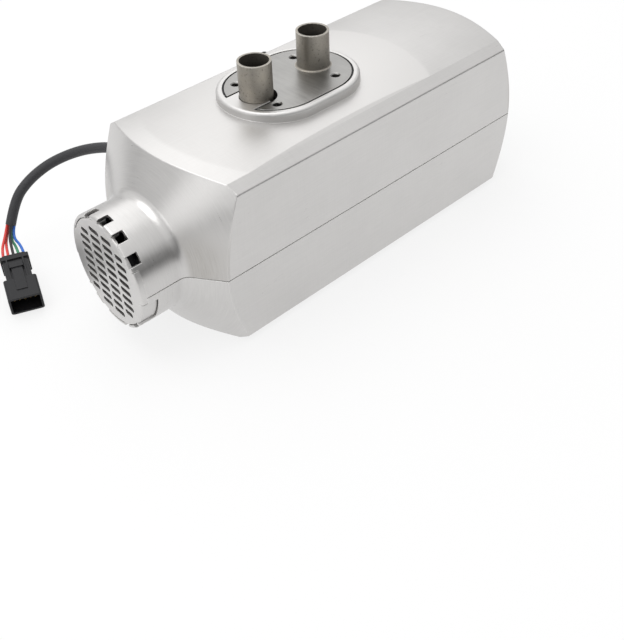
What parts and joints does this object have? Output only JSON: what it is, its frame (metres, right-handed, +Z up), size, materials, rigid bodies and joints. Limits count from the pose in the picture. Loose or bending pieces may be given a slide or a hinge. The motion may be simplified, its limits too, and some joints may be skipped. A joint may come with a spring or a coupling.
{
  "type": "diesel air heater",
  "caption": "Diesel air heater: split cast casing with intake grille and hot-air outlet, mounting flange with air and exhaust stubs, fuel tube and a short wiring loom with connector.",
  "frame": {"origin": "centre of the resting face, half way along the air path, at the bottom of the cover-side shell", "axes": "+X runs with the warm air, from the intake grille to the outlet; +Z points up, out of the mounting flange; +Y is the side that the loom and the fuel tube leave by"},
  "size_m": [0.4226, 0.2225, 0.1638],
  "materials": {
    "cast_aluminium": "satin, finely brushed",
    "machined_plate": "brushed",
    "grille_metal": "satin",
    "stub_steel": "satin, dull",
    "cast_inner": "as cast",
    "dark_steel": "heat tinted",
    "plain_steel": "satin",
    "screw_steel": "dark zinc",
    "seal_rubber": "matte",
    "gasket_fibre": "matte",
    "black_plastic": "satin",
    "magnet_ferrite": "dull",
    "armature_iron": "dull",
    "bush_bronze": "satin",
    "contact_brass": "bright",
    "board": "satin",
    "sleeve_fabric": "matte, braided",
    "wire_red": "satin",
    "wire_black": "satin",
    "wire_green": "satin",
    "wire_blue": "satin",
    "lead_black": "satin"
  },
  "bodies": {
    "heater": {"flange_side_shell": "cast_aluminium", "cover_shell": "cast_aluminium", "intake_grille": "grille_metal", "outlet_hood": "black_plastic", "flange_seal": "seal_rubber", "heat_exchanger": "machined_plate", "exhaust_stub": "stub_steel", "burner_head": "cast_inner", "burner_gasket": "gasket_fibre", "combustion_chamber": "dark_steel", "mixing_screen": "dark_steel", "flame_tube": "dark_steel", "glow_plug": "plain_steel", "head_screws": "screw_steel", "air_elbow": "stub_steel", "blower_housing": "cast_inner", "blower_gasket": "gasket_fibre", "blower_cover": "cast_inner", "blower_screws": "screw_steel", "motor_can": "plain_steel", "motor_end_cap": "black_plastic", "shaft_bushes": "bush_bronze", "field_magnets": "magnet_ferrite", "control_case": "black_plastic", "control_lid": "black_plastic", "control_screws": "screw_steel", "control_board": "board", "control_dampers": "seal_rubber", "fuel_tube": "plain_steel", "fuel_grommet": "seal_rubber", "overheat_sensor": "black_plastic", "sensor_strap": "plain_steel", "loom_lead": "lead_black", "motor_lead": "lead_black", "glow_lead": "lead_black", "sensor_lead": "lead_black", "cable_gland": "seal_rubber", "loom_sleeve": "sleeve_fabric", "wire_red_outer": "wire_red", "wire_red_inner": "wire_red", "wire_black": "wire_black", "wire_green": "wire_green", "wire_blue": "wire_blue", "connector_body": "black_plastic", "connector_seal": "seal_rubber", "connector_terminals": "contact_brass"},
    "rotor": {"rotor_shaft": "plain_steel", "armature": "armature_iron", "fan_wheel": "black_plastic", "blower_impeller": "black_plastic", "speed_magnet": "magnet_ferrite"}
  },
  "joints": [
    {"name": "fan_spin", "type": "hinge", "parent": "heater", "child": "rotor", "pos_m": [-0.12, 0, 0.0613], "axis": [1, 0, 0], "continuous": true}
  ]
}
